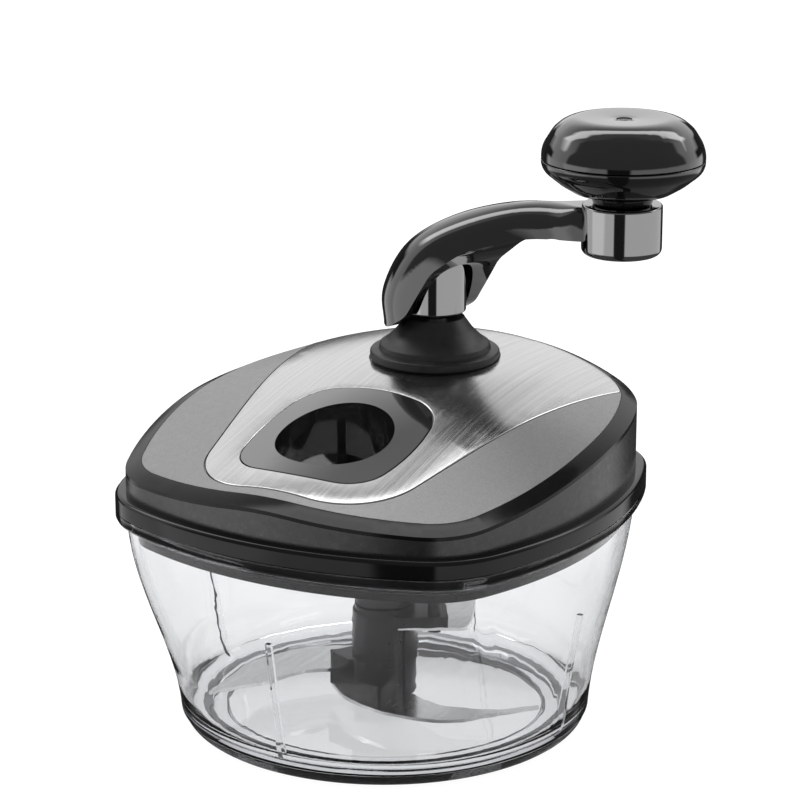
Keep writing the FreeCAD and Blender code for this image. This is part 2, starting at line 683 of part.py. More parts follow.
def bush(name, bore, low, high, y):
    """A plain plastic bush that its shaft turns in."""
    inside = "%s + dims.running_gap" % bore
    outside = "%s + dims.bush_wall" % bore
    return node(name, turned(name, [(inside, low), (outside, low), (outside, high), (inside, high)],
                             "0", y))


def make_bushes():
    bush("crank_bush_lower", "dims.shaft_radius", "dims.cover_low + dims.cover_thick", "90", "dims.crank_y")
    bush("crank_bush_upper", "dims.shaft_radius", "106", "118", "dims.crank_y")
    bush("pinion_bush_lower", "dims.spindle_radius", "dims.cover_low", "90", "0")
    bush("pinion_bush_upper", "dims.spindle_radius", "103", "112.5", "0")


def make_boot():
    """The stepped rubber boot that seals the crank shaft, standing on the domed lid top."""
    bore = "dims.shaft_radius + 1"
    form = turned("boot_form", [
        (bore, "115"), ("20.4", "115"), ("20.4", "119.4"), ("dims.boot_flange", "119.4", "0.6"),
        ("dims.boot_flange", "122.4", "0.9"), ("19.4", "122.8"), ("19.0", "124.6", "0.8"),
        ("16.6", "126.2", "3"), ("13.2", "129.6", "5"),
        ("dims.neck_radius + 0.2", "dims.boot_top - 1.2"), ("dims.neck_radius - 0.6", "dims.boot_top"),
        (bore, "dims.boot_top")], "0", "dims.crank_y")
    return node("shaft_boot", cut("shaft_boot", form, dome_block("boot_seat", "dims.plate_depth")))


SCREW_TURNS = (15, 62, 118, 165, 215, 325)


def screw_ring(name, radius, low, high):
    """Six equal cylinders on the ring of the gear cover's screws."""
    return fuse(name, *[round_block("%s%d" % (name, number), radius, low, high,
                                    "dims.screw_ring * cos(%d)" % turn, "dims.screw_ring * sin(%d)" % turn)
                        for number, turn in enumerate(SCREW_TURNS)])


def make_cover_screws():
    """Six screws that hold the gear cover up to the lid, as one group of equal solids."""
    heads = screw_ring("screw_head", "2.6", "dims.cover_low - 1.5", "dims.cover_low")
    shanks = screw_ring("screw_shank", "dims.screw_radius", "dims.cover_low", "94")
    return node("cover_screws", fuse("cover_screws", heads, shanks))


# ---- gear train -------------------------------------------------------------------------

def involute(base, radius):
    """Polar angle that an involute from a base circle has gained at a radius."""
    if radius <= base:
        return 0.0
    pressure = math.acos(base / radius)
    return math.tan(pressure) - pressure


def gear_outline(teeth, module):
    """A closed wire of spur gear teeth, with arcs through three points as flanks."""
    pitch = teeth * module / 2
    base = pitch * math.cos(math.radians(20))
    tip, root = pitch + 0.75 * module, pitch - 1.05 * module
    half_tooth = math.pi / (2 * teeth) - 0.12 / pitch + involute(base, pitch)
    start = max(root, base)

    def flank_point(radius, turn, side):
        angle = turn + side * (half_tooth - involute(base, radius))
        return Vector(radius * math.cos(angle), radius * math.sin(angle), 0)

    edges, last = [], None
    for tooth in range(teeth + 1):
        turn = 2 * math.pi * tooth / teeth
        foot = flank_point(start, turn, -1)
        heel = Vector(foot).normalize() * root
        if last is not None:
            edges.append(Part.makeLine(last, heel))
        if tooth == teeth:
            break
        if start > root:
            edges.append(Part.makeLine(heel, foot))
        middle_radius = (start + tip) / 2
        edges.append(Part.Arc(foot, flank_point(middle_radius, turn, -1),
                              flank_point(tip, turn, -1)).toShape())
        crown = Vector(tip * math.cos(turn), tip * math.sin(turn), 0)
        edges.append(Part.Arc(flank_point(tip, turn, -1), crown, flank_point(tip, turn, 1)).toShape())
        far = flank_point(start, turn, 1)
        edges.append(Part.Arc(flank_point(tip, turn, 1), flank_point(middle_radius, turn, 1),
                              far).toShape())
        last = Vector(far).normalize() * root
        if start > root:
            edges.append(Part.makeLine(far, last))
    return Part.Wire(edges)


def gear(name, teeth, bore, hub, turn, y):
    """A spur gear with a hub above it, turned so that its teeth mesh at rest."""
    count, module = int(value(teeth)), value("dims.gear_module")
    low, width = value("dims.gear_low"), value("dims.gear_width")
    disc = Part.Face(gear_outline(count, module)).extrude(Vector(0, 0, width))
    hub_part = Part.makeCylinder(value(hub), width + 2.5)
    hole = Part.makeCylinder(value(bore), width + 4, Vector(0, 0, -1))
    piece = doc.addObject("Part::Feature", name)
    piece.Shape = disc.fuse(hub_part).cut(hole).removeSplitter()
    piece.Placement = Placement(Vector(0, value(y), low), Rotation(Vector(0, 0, 1), turn))
    return node(name, piece)


def make_gears():
    # the big gear has a tooth on its line to the pinion, and the pinion a gap there
    big = value("dims.gear_teeth")
    small = value("dims.pinion_teeth")
    big_turn = 270 % (360 / big)
    small_turn = (90 - 180 / small) % (360 / small)
    gear("crank_gear", "dims.gear_teeth", "dims.shaft_radius", "9", big_turn, "dims.crank_y")
    gear("pinion", "dims.pinion_teeth", "dims.spindle_radius", "6.4", small_turn, "0")


def make_shafts():
    node("crank_shaft", turned("crank_shaft", [
        ("0", "86.6"), ("dims.shaft_radius", "86.6", "0.5"), ("dims.shaft_radius", "162"),
        ("0", "162")], "0", "dims.crank_y"))
    groove = "dims.shaft_radius"
    node("shaft_clip", turned("shaft_clip", [
        (groove, "90.3"), ("dims.shaft_radius + 3", "90.3"), ("dims.shaft_radius + 3", "91.5"),
        (groove, "91.5")], "0", "dims.crank_y"))
    node("pinion_shaft", turned("pinion_shaft", [
        ("0", "78"), ("dims.spindle_radius", "78"), ("dims.spindle_radius", "112.2", "0.5"),
        ("0", "112.2")]))


def make_drive_sleeve():
    """The sleeve that hangs from the pinion shaft and takes the blade hub's hexagon."""
    body = turned("drive_sleeve", [
        ("0", "dims.sleeve_low"), ("dims.sleeve_radius", "dims.sleeve_low", "0.6"),
        ("dims.sleeve_radius", "83.6", "1"), ("dims.spindle_radius", "83.6"),
        ("dims.spindle_radius", "78"), ("0", "78")])
    socket = new_sketch(body, "socket_outline", "XY_Plane", "dims.sleeve_low")
    hexagon(socket, "6.3")
    pocket = body.newObject("PartDesign::Pocket", "socket")
    pocket.Profile = socket
    pocket.Length = 14
    pocket.Reversed = True
    return node("drive_sleeve", body)


def hexagon(sketch, across):
    """A hexagon by its corner radius, one corner on +X."""
    corners = [("(%s) * cos(%d)" % (across, 60 * i), "(%s) * sin(%d)" % (across, 60 * i))
               for i in range(6)]
    outline(sketch, corners)


# ---- crank and knob ---------------------------------------------------------------------

# where each section of the arm starts and ends in the side view, its half width and rounding
ARM_SECTIONS = [
    ((20, 128.5), (-18.8, 128.5), 15.7, 15.1), ((20, 137), (-18.5, 139), 15.7, 15.1),
    ((21, 143), (-16.9, 147), 15.6, 14.9), ((23, 148.5), (-13.4, 154), 15.4, 14.5),
    ((25.5, 153.2), (-8.6, 160.2), 14.9, 13.7), ((28.5, 157.4), (-1, 166), 13.9, 12.2),
    ((32, 161.2), (7.9, 170.7), 12.5, 11.6), ((37, 164.6), (19.9, 175), 11.0, 10.3),
    ((43.5, 167.2), (33.9, 178.1), 9.7, 9.0), ((50.5, 168.8), (47, 179.4), 8.9, 8.2),
    ((61.6, 169.3), (61.6, 179.6), 8.8, 8.0)]


def arm_section(body, number, inner, outer, half_width, rounding):
    """A section of the arm: flat on its inner side, round on its outer side."""
    sketch = new_sketch(body, "arm_section%d" % number, "YZ_Plane")
    lean = math.degrees(math.atan2(inner[0] - outer[0], outer[1] - inner[1]))
    height = math.hypot(inner[0] - outer[0], outer[1] - inner[1])
    sketch.AttachmentOffset = Placement(Vector(0, inner[1], inner[0]), Rotation(Vector(1, 0, 0), -lean))
    bind(sketch, "AttachmentOffset.Base.z", "%s * dims.arm_end / 61.6" % inner[0])
    outline(sketch, [(str(-half_width), "0"), (str(half_width), "0"),
                     (str(half_width), str(height), str(rounding)),
                     (str(-half_width), str(height), str(rounding))])
    return sketch


def make_crank_arm():
    """The arm: sections swept from the hood to the collar, cut open round the sleeve."""
    form = new_body("arm_form")
    sections = [arm_section(form, number, *section) for number, section in enumerate(ARM_SECTIONS)]
    loft(form, "AdditiveLoft", sections, "arm_loft")
    place(form, "0", "dims.crank_y")
    under = new_body("arm_under")
    profile = new_sketch(under, "arm_under_profile", "XZ_Plane")
    outline(profile, [
        ("-30", "110"), ("-30", "138"), ("-13.5", "131.8", "8"), ("-6.6", "131.2", "8"),
        ("1.8", "136.2", "9"), ("11.2", "153.0", "14"), ("21.5", "161.2", "24"), ("39", "167.9", "50"),
        ("62", "169.3"), ("62", "110")])
    pad(under, profile, "60", "arm_under_pad", midplane=True)
    under.Placement.Rotation = Rotation(Vector(0, 0, 1), value("dims.hood_turn"))
    place(under, "0", "dims.crank_y")
    hollow = round_block("arm_hollow", "dims.neck_radius + 2.2", "120", "155", "0", "dims.crank_y")
    shaft = round_block("arm_bore", "dims.shaft_radius", "120", "162", "0", "dims.crank_y")
    collar_seat = round_block("arm_collar_seat", "dims.collar_radius", "155", "190",
                              "dims.crank_reach", "dims.crank_y")
    sleeve_seat = round_block("arm_sleeve_seat", "dims.neck_radius", "120", "158", "0", "dims.crank_y")
    return node("crank_arm", cut("crank_arm", form, under, hollow, shaft, collar_seat, sleeve_seat))


def make_crank_pieces():
    node("shaft_sleeve", turned("shaft_sleeve", [
        ("dims.shaft_radius", "136"), ("dims.neck_radius", "136", "0.8"),
        ("dims.neck_radius", "158"), ("dims.shaft_radius", "158")], "0", "dims.crank_y"))
    node("knob_collar", turned("knob_collar", [
        ("3", "dims.collar_split"), ("dims.collar_radius", "dims.collar_split"),
        ("dims.collar_radius", "dims.collar_top", "0.9"), ("3", "dims.collar_top")],
        "dims.crank_reach", "dims.crank_y"))
    node("collar_cap", turned("collar_cap", [
        ("3", "dims.collar_low"), ("dims.collar_radius", "dims.collar_low", "2.4"),
        ("dims.collar_radius", "dims.collar_split"), ("3", "dims.collar_split")],
        "dims.crank_reach", "dims.crank_y"))
    node("knob_spindle", turned("knob_spindle", [
        ("0", "dims.collar_low + 0.6"), ("3", "dims.collar_low + 0.6"), ("3", "206"), ("0", "206")],
        "dims.crank_reach", "dims.crank_y"))


def make_knob():
    """Two shells that meet at a seam, a neck below them and a blank disc on top."""
    x, y = "dims.crank_reach", "dims.crank_y"
    bore = "3 + dims.running_gap"
    node("knob_neck", turned("knob_neck", [
        (bore, "dims.collar_top + 0.3"), ("9.8", "dims.collar_top + 0.3", "0.5"),
        ("10.8", "dims.knob_low", "4"), ("10.8", "dims.knob_low + 1.6"),
        (bore, "dims.knob_low + 1.6")], x, y))
    node("knob_lower", turned("knob_lower", [
        ("10.8", "dims.knob_low"), ("15.8", "dims.knob_low", "3"), ("20.8", "188.4", "14"),
        ("dims.knob_radius", "193.4", "5.5"), ("dims.knob_radius", "dims.knob_split - 0.15"),
        ("dims.knob_radius - 2.2", "dims.knob_split - 0.15"), ("dims.knob_radius - 2.2", "194.8"),
        ("19.8", "190.6", "5"), ("14.8", "dims.knob_low + 1.6"), ("10.8", "dims.knob_low + 1.6")], x, y))
    node("knob_upper", turned("knob_upper", [
        ("dims.knob_radius - 2.2", "dims.knob_split + 0.15"),
        ("dims.knob_radius", "dims.knob_split + 0.15"), ("dims.knob_radius", "200.2", "10"),
        ("23.2", "206.3", "8"), ("18.4", "dims.knob_top", "10"), ("5", "dims.knob_top - 0.6"),
        ("2.6", "dims.knob_top - 0.8"), ("2.6", "dims.knob_top - 2"), ("0", "dims.knob_top - 2"),
        ("0", "dims.knob_top - 3.4"), ("14.5", "dims.knob_top - 3.2", "4"), ("20.6", "204.2", "6"),
        ("dims.knob_radius - 2.2", "199.4")], x, y))
    node("knob_disc", turned("knob_disc", [
        ("0", "dims.knob_top - 2"), ("2.5", "dims.knob_top - 2"), ("2.5", "dims.knob_top - 1.1", "0.3"),
        ("0", "dims.knob_top - 1.3")], x, y))
    node("knob_bush", turned("knob_bush", [
        (bore, "dims.knob_low + 1.6"), ("8.4", "dims.knob_low + 1.6"), ("6.4", "204.4"),
        (bore, "204.4")], x, y))


# ---- blade unit -------------------------------------------------------------------------

# each blade before its turn, from the root round the belly to the tip and back to the hub
LOWER_BLADE = [("-16.5", "-9.6", "1.5"), ("-5", "-19.6", "12"), ("9", "-25.4", "40"),
               ("37", "-25", "24"), ("56.2", "6"), ("45.5", "-6.4", "16"), ("28", "-10.6", "24"),
               ("8.8", "-4.8")]
MIDDLE_BLADE = [("-16.5", "-9.6", "1.5"), ("-5", "-19.6", "12"), ("9", "-25", "40"),
                ("24", "-24.4", "30"), ("43", "-18.4", "20"), ("63", "6.6"), ("42", "1.6", "20"),
                ("29", "-4", "20"), ("8.8", "-3.4")]
UPPER_BLADE = [("-6.4", "-9.5"), ("-3.1", "-16.3", "3"), ("2.8", "-24", "2"),
               ("5.4", "-29.4", "3"), ("20", "-24.6", "30"), ("41", "-14.5", "20"), ("55", "8"), ("42", "-1", "20"),
               ("27", "-8.4", "20"), ("8.8", "-4.8")]
# the pins that fasten the blades: x, y, bottom and top
BLADE_PINS = [("-2.6", "-12.1", "dims.lower_blade - 1", "24.2"),
              ("-6.6", "10.3", "dims.middle_blade - 1.2", "25"),
              ("19", "1.4", "dims.upper_blade - 1.2", "45")]


def make_blade(name, height, turn, corners):
    """A sabre blade with a broad root at the hub, a belly and a hooked tip."""
    body = new_body(name)
    sketch = new_sketch(body, name + "_outline", "XY_Plane", height)
    outline(sketch, corners)
    pad(body, sketch, "dims.blade_thick", name + "_pad")
    bind(body, "Placement.Rotation.Angle", turn)
    return cut(name, body, round_block(name + "_hub_hole", "dims.hub_radius - 1.5", "0", "60"))


def bracket(name, low, corners):
    """A flat plate on the hub that a blade is pinned to."""
    body = new_body(name)
    sketch = new_sketch(body, name + "_outline", "XY_Plane", low)
    outline(sketch, corners)
    pad(body, sketch, "dims.bracket_thick", name + "_pad")
    return body


def make_blade_unit():
    """The hub that turns on the bowl's pin, its three brackets, the blades and their pins."""
    bore = "dims.pivot_radius + dims.running_gap"
    core = turned("hub_core", [
        ("6.4", "dims.hub_low"), ("dims.hub_radius - 0.3", "dims.hub_low", "0.6"),
        ("dims.hub_radius", "dims.hub_top - 2.5"), ("dims.hub_radius - 0.7", "dims.hub_top - 2.5"),
        ("dims.hub_radius - 0.7", "dims.hub_top", "0.5"), ("0", "dims.hub_top"),
        ("0", "dims.pivot_top + 0.5"), (bore, "dims.pivot_top + 0.5"), (bore, "12.6"),
        ("6.4", "12.6")])
    peg = new_sketch(core, "peg_outline", "XY_Plane", "dims.hub_top")
    hexagon(peg, "6")
    pad(core, peg, "11", "peg_pad")
    groove = new_body("hub_groove")
    slot = new_sketch(groove, "groove_outline", "XY_Plane", "dims.hub_low - 1")
    outline(slot, [("dims.hub_radius - 1.6", "-0.6"), ("dims.hub_radius + 1", "-0.6"),
                   ("dims.hub_radius + 1", "0.6"), ("dims.hub_radius - 1.6", "0.6")])
    pad(groove, slot, "dims.upper_blade - dims.hub_low + 1", "groove_pad")
    groove.Placement.Rotation = Rotation(Vector(0, 0, 1), -23)
    brackets = fuse("brackets", bracket("front_bracket", "dims.lower_blade + dims.blade_thick", [
        ("-15.4", "-12.4", "1"), ("8", "-16", "1.5"), ("8", "-2"), ("-7", "4")]),
        bracket("left_bracket", "dims.middle_blade + dims.blade_thick", [
            ("-19.6", "-4.6", "0.8"), ("-9", "-9.4"), ("4", "6"), ("1", "16", "2"), ("-10", "13.5", "2")]),
        bracket("upper_bracket", "dims.upper_blade + dims.blade_thick", [
            ("6", "-8"), ("10", "-8.6", "1"), ("15.4", "-5.6", "3"), ("24.8", "1.4", "1.5"),
            ("18", "11", "2"), ("3", "9")]))
    trimmed = cut("brackets_trimmed", brackets, round_block("hub_bore", "8", "0", "dims.hub_top - 1"))
    solid = cut("hub_grooved", fuse("hub_solid", core, trimmed), groove)
    pins = fuse("blade_pins", *[round_block("blade_pin%d" % number, "dims.pin_radius", *heights, x, y)
                                for number, (x, y, *heights) in enumerate(BLADE_PINS)])
    blades = [make_blade("blade_lower", "dims.lower_blade", "dims.lower_turn", LOWER_BLADE),
              make_blade("blade_middle", "dims.middle_blade", "dims.middle_turn", MIDDLE_BLADE),
              make_blade("blade_upper", "dims.upper_blade", "dims.upper_turn", UPPER_BLADE)]
    for name, blade in zip(("blade_lower", "blade_middle", "blade_upper"), blades):
        node(name, cut(name + "_holed", blade, pins))
    node("blade_hub", cut("blade_hub", solid, *blades, pins))
    node("blade_pins", pins)


# ---- build, test and write --------------------------------------------------------------

make_bowl()
make_foot_ring()
make_pivot_pin()
make_lid()
make_flange()
make_gear_cover()
make_bushes()
make_boot()
make_cover_screws()
make_gears()
make_shafts()
make_drive_sleeve()
make_crank_arm()
make_crank_pieces()
make_knob()
make_blade_unit()

doc.recompute()
faults = [piece.Name for piece in doc.Objects if "Invalid" in piece.State or "Error" in piece.State]
faults += [label for label, piece in NODES.items() if piece.Shape.isNull() or not piece.Shape.isValid()]
if faults:
    raise RuntimeError("failed objects: " + ", ".join(faults))

os.makedirs("parts", exist_ok=True)
for label, piece in NODES.items():
    piece.Shape.exportStep(os.path.join("parts", label + ".step"))
    print(label, len(piece.Shape.Solids), "solids", round(piece.Shape.Volume), "mm3")
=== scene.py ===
# %% [markdown]
# # A hand cranked food chopper, dressed for its picture
# The solids of this chopper are already modelled: a clear bowl on a rubber ring, a domed lid with
# a brushed steel tongue, a swan-neck crank with a round knob, and a unit of three blades. This
# lesson loads them, gives each one a finish built from shader nodes, models the knob's shells anew,
# and sets up a plain studio. Everything is in metres. The blade axis is Z, and the crank arm points
# along X.

# %% Load the solids
import json
import math

import bpy
from mathutils import Matrix, Vector


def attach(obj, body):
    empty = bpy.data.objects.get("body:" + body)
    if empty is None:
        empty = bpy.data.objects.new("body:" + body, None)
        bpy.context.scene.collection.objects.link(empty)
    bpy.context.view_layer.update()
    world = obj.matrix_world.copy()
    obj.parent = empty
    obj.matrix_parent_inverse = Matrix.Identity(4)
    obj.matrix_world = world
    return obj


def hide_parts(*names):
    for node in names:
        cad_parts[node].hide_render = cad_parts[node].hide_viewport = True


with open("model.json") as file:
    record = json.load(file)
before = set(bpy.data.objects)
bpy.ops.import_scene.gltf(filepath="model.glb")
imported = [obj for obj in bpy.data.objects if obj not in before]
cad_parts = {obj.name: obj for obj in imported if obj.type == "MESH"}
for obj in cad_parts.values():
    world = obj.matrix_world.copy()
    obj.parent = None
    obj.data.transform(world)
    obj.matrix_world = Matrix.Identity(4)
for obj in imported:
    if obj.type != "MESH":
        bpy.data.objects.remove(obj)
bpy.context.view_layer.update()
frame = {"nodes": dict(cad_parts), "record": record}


# %% [markdown]
# ## A short way to write shaders
# A node tree clicked together by hand is hard to read back. Here a small class stands for a
# socket, so that `1 - mask * 0.5` adds its Math nodes by itself, and one method of `Finish` makes
# any other node. What stays the same all over a surface is set straight on the shader's socket.
# Only what changes over the surface is linked.

# %% A socket that understands arithmetic
class Signal:
    """A number, vector or colour that flows through a finish's nodes."""

    def __init__(self, finish, socket):
        self.finish = finish
        self.socket = socket

    def math(self, operation, *others):
        values = dict(enumerate((self,) + others))
        return self.finish.node("Math", {"operation": operation}, values)

    def __add__(self, other):
        return self.math("ADD", other)

    def __mul__(self, other):
        return self.math("MULTIPLY", other)

    def __sub__(self, other):
        return self.math("SUBTRACT", other)

    def __rsub__(self, other):
        return self.finish.node("Math", {"operation": "SUBTRACT"}, {0: other, 1: self})

    __radd__ = __add__
    __rmul__ = __mul__


# %% A finish: one material and the method that adds its nodes
class Finish:
    """A material on the part's own coordinates, in metres."""

    def __init__(self, name):
        self.material = bpy.data.materials.new(name)
        self.material.use_nodes = True
        self.tree = self.material.node_tree
        self.tree.nodes.clear()
        self.output = self.tree.nodes.new("ShaderNodeOutputMaterial")
        self.place = self.node("TexCoord", {}, {}, out="Object")

    def node(self, kind, settings, values, out=0):
        """Adds a node of that kind, sets it up, feeds its sockets and returns one output."""
        node = self.tree.nodes.new("ShaderNode" + kind)
        for setting, value in settings.items():
            if setting == "stops":
                self.set_stops(node.color_ramp, value)
            else:
                setattr(node, setting, value)
        for socket, value in values.items():
            if isinstance(value, Signal):
                self.tree.links.new(value.socket, node.inputs[socket])
            else:
                node.inputs[socket].default_value = value
        return Signal(self, node.outputs[out])

    @staticmethod
    def set_stops(ramp, stops):
        while len(ramp.elements) < len(stops):
            ramp.elements.new(1.0)
        for element, (position, shade) in zip(ramp.elements, stops):
            element.position = position
            element.color = colour(shade)

    def noise(self, scale, detail=2.0, stretch=(1, 1, 1), vector=None):
        spot = self.node("Mapping", {}, {"Vector": vector or self.place, "Scale": stretch})
        return self.node("TexNoise", {}, {"Vector": spot, "Scale": scale, "Detail": detail})

    def band(self, value, low, high, out_low=0.0, out_high=1.0):
        """Maps a signal from low..high to out_low..out_high, held at both ends."""
        return self.node("MapRange", {}, {"Value": value, "From Min": low, "From Max": high,
                                          "To Min": out_low, "To Max": out_high})

    def blend(self, mask, first, second):
        """A colour between two others, by a mask."""
        return self.node("Mix", {"data_type": "RGBA"}, {0: mask, 6: first, 7: second}, out=2)

    def bump(self, height, strength, distance=0.0002):
        return self.node("Bump", {}, {"Height": height, "Strength": strength,
                                      "Distance": distance})

    def finish(self, values):
        """Closes the tree with the Principled shader."""
        shader = self.node("BsdfPrincipled", {}, values)
        self.tree.links.new(shader.socket, self.output.inputs["Surface"])
        return self.material


def colour(shade):
    """A grey level or an (r, g, b) as a linear colour with alpha."""
    values = (shade, shade, shade) if isinstance(shade, (int, float)) else tuple(shade)
    return values + (1.0,) * (4 - len(values))


print("shader helpers ready")


# %% [markdown]
# ## Moulded and satin plastics
# Most of this tool is black or grey plastic. A gloss moulding is nearly flawless, so its only
# detail is a very low ripple and faint wear in the roughness. A satin face was spark eroded in the
# mould, so it gets a fine grain in its bump and a slight mottle in its colour. One function with a
# few numbers makes all of them, because they are the same stuff with another surface.

# %% Plastic, from gloss to satin
def plastic(name, shade, rough, grain=0.0, grain_scale=2600, metal=0.0, ior=1.5, coat=0.0,
            mottle=0.0, ripple=0.02, gloss=0.5):
    """A moulded plastic. grain is the strength of a fine texture, ripple that of a slow one."""
    paint = Finish(name)
    fine = paint.noise(grain_scale, 3.0)
    slow = paint.noise(90, 2.0)
    wear = paint.noise(420, 4.0)
    base = paint.blend(paint.band(fine, 0.35, 0.65), colour(shade * (1 - mottle)),
                       colour(shade * (1 + mottle)))
    height = fine * grain + slow * ripple
    return paint.finish({
        "Base Color": base, "Metallic": metal, "IOR": ior, "Coat Weight": coat,
        "Specular IOR Level": gloss, "Coat Roughness": 0.03,
        "Roughness": paint.band(wear, 0.3, 0.7, rough * 0.85, rough * 1.15),
        "Normal": paint.bump(height, 0.5)})


def black_chrome(name, shade, rough):
    """A dark plated gloss that mirrors the studio: a polished metal of low reflectance."""
    paint = Finish(name)
    wipe = paint.noise(60, 3.0, (1, 1, 0.3))
    return paint.finish({
        "Base Color": paint.blend(wipe, colour(shade * 0.94), colour(shade * 1.06)),
        "Metallic": 1.0, "Roughness": paint.band(wipe, 0.3, 0.7, rough, rough * 1.6),
        "Normal": paint.bump(paint.noise(40), 0.04)})


def rubber(name, shade, rough):
    """A soft black rubber: no coat, a dusty bloom and a fine pebble."""
    paint = Finish(name)
    bloom = paint.noise(160, 5.0)
    pebble = paint.noise(3200, 2.0)
    return paint.finish({
        "Base Color": paint.blend(paint.band(bloom, 0.35, 0.75), colour(shade * 0.85),
                                  colour(shade * 1.35)),
        "Roughness": paint.band(bloom, 0.3, 0.7, rough - 0.06, rough + 0.06),
        "Specular IOR Level": 0.3, "Normal": paint.bump(pebble, 0.2)})


# %% [markdown]
# ## Metals
# The tongue on the lid is steel brushed from front to back, so a noise that is squeezed hard
# across the part and hardly along it draws the fine lines, in the bump, in the roughness and a
# little in the colour. The blades are ground, with finer lines. Pins and shafts are turned, which
# leaves rings round their axis, drawn by a noise squeezed hard along Z.

# %% Brushed, ground and turned metal
def brushed(name, shade, rough, across, along, depth):
    """Steel with straight lines along Y: across and along are the noise's two scales."""
    steel = Finish(name)
    lines = steel.noise(1.0, 4.0, (across, along, along))
    streaks = steel.noise(1.0, 2.0, (across * 0.12, along * 0.4, along * 0.4))
    tone = lines * 0.6 + streaks * 0.4
    return steel.finish({
        "Base Color": steel.blend(steel.band(tone, 0.35, 0.65), colour(shade * 0.86),
                                  colour(min(shade * 1.08, 0.95))),
        "Metallic": 1.0, "Roughness": steel.band(lines, 0.3, 0.7, rough * 0.8, rough * 1.25),
        "Normal": steel.bump(lines, depth, 0.0001)})


def turned(name, shade, rough):
    """Bright turned steel with fine rings along its axis."""
    steel = Finish(name)
    rings = steel.noise(1.0, 3.0, (40, 40, 5200))
    return steel.finish({
        "Base Color": steel.blend(rings, colour(shade * 0.9), colour(shade * 1.1)),
        "Metallic": 1.0, "Roughness": steel.band(rings, 0.3, 0.7, rough * 0.8, rough * 1.2),
        "Normal": steel.bump(rings, 0.15, 0.0001)})


# %% [markdown]
# ## The clear bowl
# The bowl is injection moulded from a clear plastic with an index a little under 1.5. Real clear
# mouldings are never optically flat: slow sink marks bend what is seen through them, and the
# surface has faint hairlines from washing. A very low bump and a touch of varying roughness give
# both without making it look frosted. A thick wall takes away some light, which draws the bowl's
# edges darker than its faces, so the inside of the plastic absorbs a little.

# %% Clear plastic
def clear(name, shade):
    bowl = Finish(name)
    sink = bowl.noise(16, 0.0)
    hairs = bowl.noise(700, 4.0, (1, 1, 0.2))
    depth = bowl.node("VolumeAbsorption", {}, {"Color": colour((0.28, 0.3, 0.34)),
                                               "Density": 40.0})
    bowl.tree.links.new(depth.socket, bowl.output.inputs["Volume"])
    return bowl.finish({
        "Base Color": colour(shade), "Transmission Weight": 1.0, "IOR": 1.46,
        "Specular IOR Level": 0.2, "Roughness": bowl.band(hairs, 0.5, 0.8, 0.0, 0.03),
        "Normal": bowl.bump(sink, 0.03, 0.0004)})


# %% One finish for each material of the part
FINISHES = {
    "bowl_clear": clear("bowl_clear", (0.965, 0.97, 0.975)),
    "foot_rubber": rubber("foot_rubber", 0.035, 0.5),
    "pin_steel": turned("pin_steel", 0.6, 0.22),
    "lid_wall_grey": plastic("lid_wall_grey", 0.08, 0.3, grain=0.2, metal=0.85, mottle=0.08),
    "band_black": plastic("band_black", 0.007, 0.15, grain=0.05, gloss=0.18),
    "lid_top_grey": plastic("lid_top_grey", 0.28, 0.38, grain=0.6, metal=0.75, mottle=0.18,
                            grain_scale=3200),
    "cover_steel": brushed("cover_steel", 0.66, 0.2, 6200, 24, 0.16),
    "insert_black": plastic("insert_black", 0.012, 0.06, coat=1.0, ior=2.0),
    "flange_black": plastic("flange_black", 0.007, 0.1, gloss=0.25),
    "seal_grey": rubber("seal_grey", 0.3, 0.6),
    "cover_plastic": plastic("cover_plastic", 0.05, 0.5, grain=0.4, mottle=0.08),
    "bush_white": plastic("bush_white", 0.68, 0.42, grain=0.2, mottle=0.03),
    "boot_rubber": rubber("boot_rubber", 0.018, 0.42),
    "screw_steel": turned("screw_steel", 0.55, 0.28),
    "gear_plastic": plastic("gear_plastic", 0.66, 0.38, grain=0.15, mottle=0.03),
    "shaft_steel": turned("shaft_steel", 0.58, 0.2),
    "sleeve_dark": plastic("sleeve_dark", 0.045, 0.36, grain=0.2, metal=0.5, mottle=0.06),
    "arm_black": plastic("arm_black", 0.005, 0.045, coat=0.7, ior=1.6, ripple=0.01),
    "neck_chrome": black_chrome("neck_chrome", 0.28, 0.05),
    "knob_black": plastic("knob_black", 0.005, 0.04, coat=0.7, ior=1.6, ripple=0.008),
    "disc_grey": plastic("disc_grey", 0.10, 0.3, grain=0.2, metal=0.4),
    "hub_plastic": plastic("hub_plastic", 0.006, 0.24, grain=0.1, mottle=0.06,
                           gloss=0.3),
    "blade_steel": brushed("blade_steel", 0.68, 0.22, 9000, 90, 0.05),
}
SLOT_OF = {piece["node"]: piece["material_slot"] for piece in frame["record"]["subparts"]}
for node_name, solid in frame["nodes"].items():
    solid.data.materials.clear()
    solid.data.materials.append(FINISHES[SLOT_OF[node_name]])
print("finishes:", len(FINISHES), "on", len(SLOT_OF), "solids")


# %% [markdown]
# ## Round faces that shade as round
# A solid arrives as loose flat triangles. On a matt part nobody sees them, but a mirror shows
# every one. The cure is a copy whose triangles are joined into one skin, with smooth shading
# wherever two faces meet at a shallow angle. The copy stands in for the solid and rides with it.
# The steel tongue's edge is rolled by a small bevel, so that it catches a bright line. The rubber
# ring is made a hair smaller, because two skins in one place would flicker under the clear bowl.

# %% Joined and smoothed copies
BODY_OF = {name: body for body, names in frame["record"]["behaviour"]["bodies"].items()
           for name in names}


def activate(piece):
    """Makes one object the only selected and active one."""
    bpy.ops.object.select_all(action="DESELECT")
    piece.select_set(True)
    bpy.context.view_layer.objects.active = piece


def dress(piece, node_name, slot=None):
    """Gives a piece its finish and lets it stand for a solid, on the solid's body."""
    slot = slot or SLOT_OF[node_name]
    piece.data.materials.clear()
    piece.data.materials.append(FINISHES[slot])
    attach(piece, BODY_OF[node_name])


